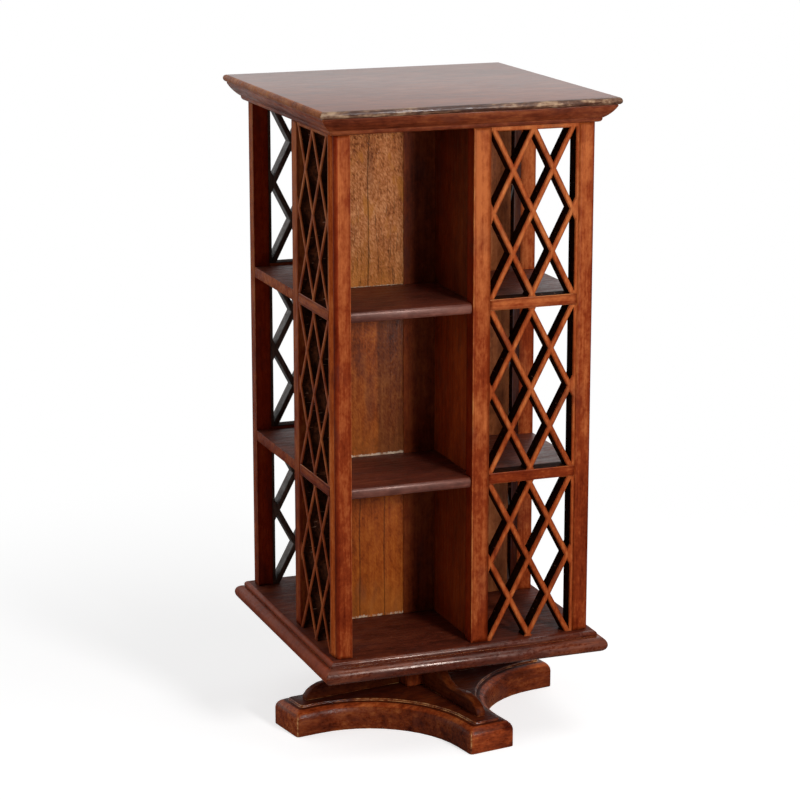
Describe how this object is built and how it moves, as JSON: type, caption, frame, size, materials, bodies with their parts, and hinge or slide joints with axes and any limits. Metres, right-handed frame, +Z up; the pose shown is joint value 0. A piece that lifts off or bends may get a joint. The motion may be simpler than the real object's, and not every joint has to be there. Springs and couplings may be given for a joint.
{
  "type": "revolving bookcase",
  "caption": "Square wooden bookcase with lattice panels and open compartments on every side, which turns on a spindle over a cross-shaped base.",
  "frame": {"origin": "on the floor, on the spindle's axis", "axes": "+Z up along the spindle, -Y out of the front side of the case, +X to the right of it"},
  "size_m": [0.487, 0.487, 1.02],
  "materials": {
    "mahogany": "satin lacquer",
    "panel_wood": "satin lacquer",
    "moulding_wood": "satin lacquer",
    "steel": "turned",
    "brass": "turned"
  },
  "bodies": {
    "base": {"base_plate": "moulding_wood", "bracket_front": "moulding_wood", "bracket_right": "moulding_wood", "bracket_back": "moulding_wood", "bracket_left": "moulding_wood", "hub_block": "moulding_wood", "spindle": "steel", "thrust_washer": "steel"},
    "case": {"bottom_board": "moulding_wood", "lower_bush": "brass", "upper_bush": "brass", "spindle_column": "panel_wood", "shelf_lower": "panel_wood", "shelf_upper": "panel_wood", "partition_front_lower": "panel_wood", "partition_front_middle": "panel_wood", "partition_front_upper": "panel_wood", "partition_right_lower": "panel_wood", "partition_right_middle": "panel_wood", "partition_right_upper": "panel_wood", "partition_back_lower": "panel_wood", "partition_back_middle": "panel_wood", "partition_back_upper": "panel_wood", "partition_left_lower": "panel_wood", "partition_left_middle": "panel_wood", "partition_left_upper": "panel_wood", "post_front_left": "mahogany", "post_front_right": "mahogany", "post_back_right": "mahogany", "post_back_left": "mahogany", "stile_front": "mahogany", "stile_right": "mahogany", "stile_back": "mahogany", "stile_left": "mahogany", "rail_front_lower": "mahogany", "rail_front_upper": "mahogany", "rail_right_lower": "mahogany", "rail_right_upper": "mahogany", "rail_back_lower": "mahogany", "rail_back_upper": "mahogany", "rail_left_lower": "mahogany", "rail_left_upper": "mahogany", "lattice_front_lower": "mahogany", "lattice_front_middle": "mahogany", "lattice_front_upper": "mahogany", "lattice_right_lower": "mahogany", "lattice_right_middle": "mahogany", "lattice_right_upper": "mahogany", "lattice_back_lower": "mahogany", "lattice_back_middle": "mahogany", "lattice_back_upper": "mahogany", "lattice_left_lower": "mahogany", "lattice_left_middle": "mahogany", "lattice_left_upper": "mahogany", "carcase_top": "panel_wood", "cornice_front": "moulding_wood", "cornice_right": "moulding_wood", "cornice_back": "moulding_wood", "cornice_left": "moulding_wood", "top_board": "moulding_wood"}
  },
  "joints": [
    {"name": "case_spin", "type": "hinge", "parent": "base", "child": "case", "pos_m": [0, 0, 0.138], "axis": [0, 0, 1], "continuous": true}
  ]
}
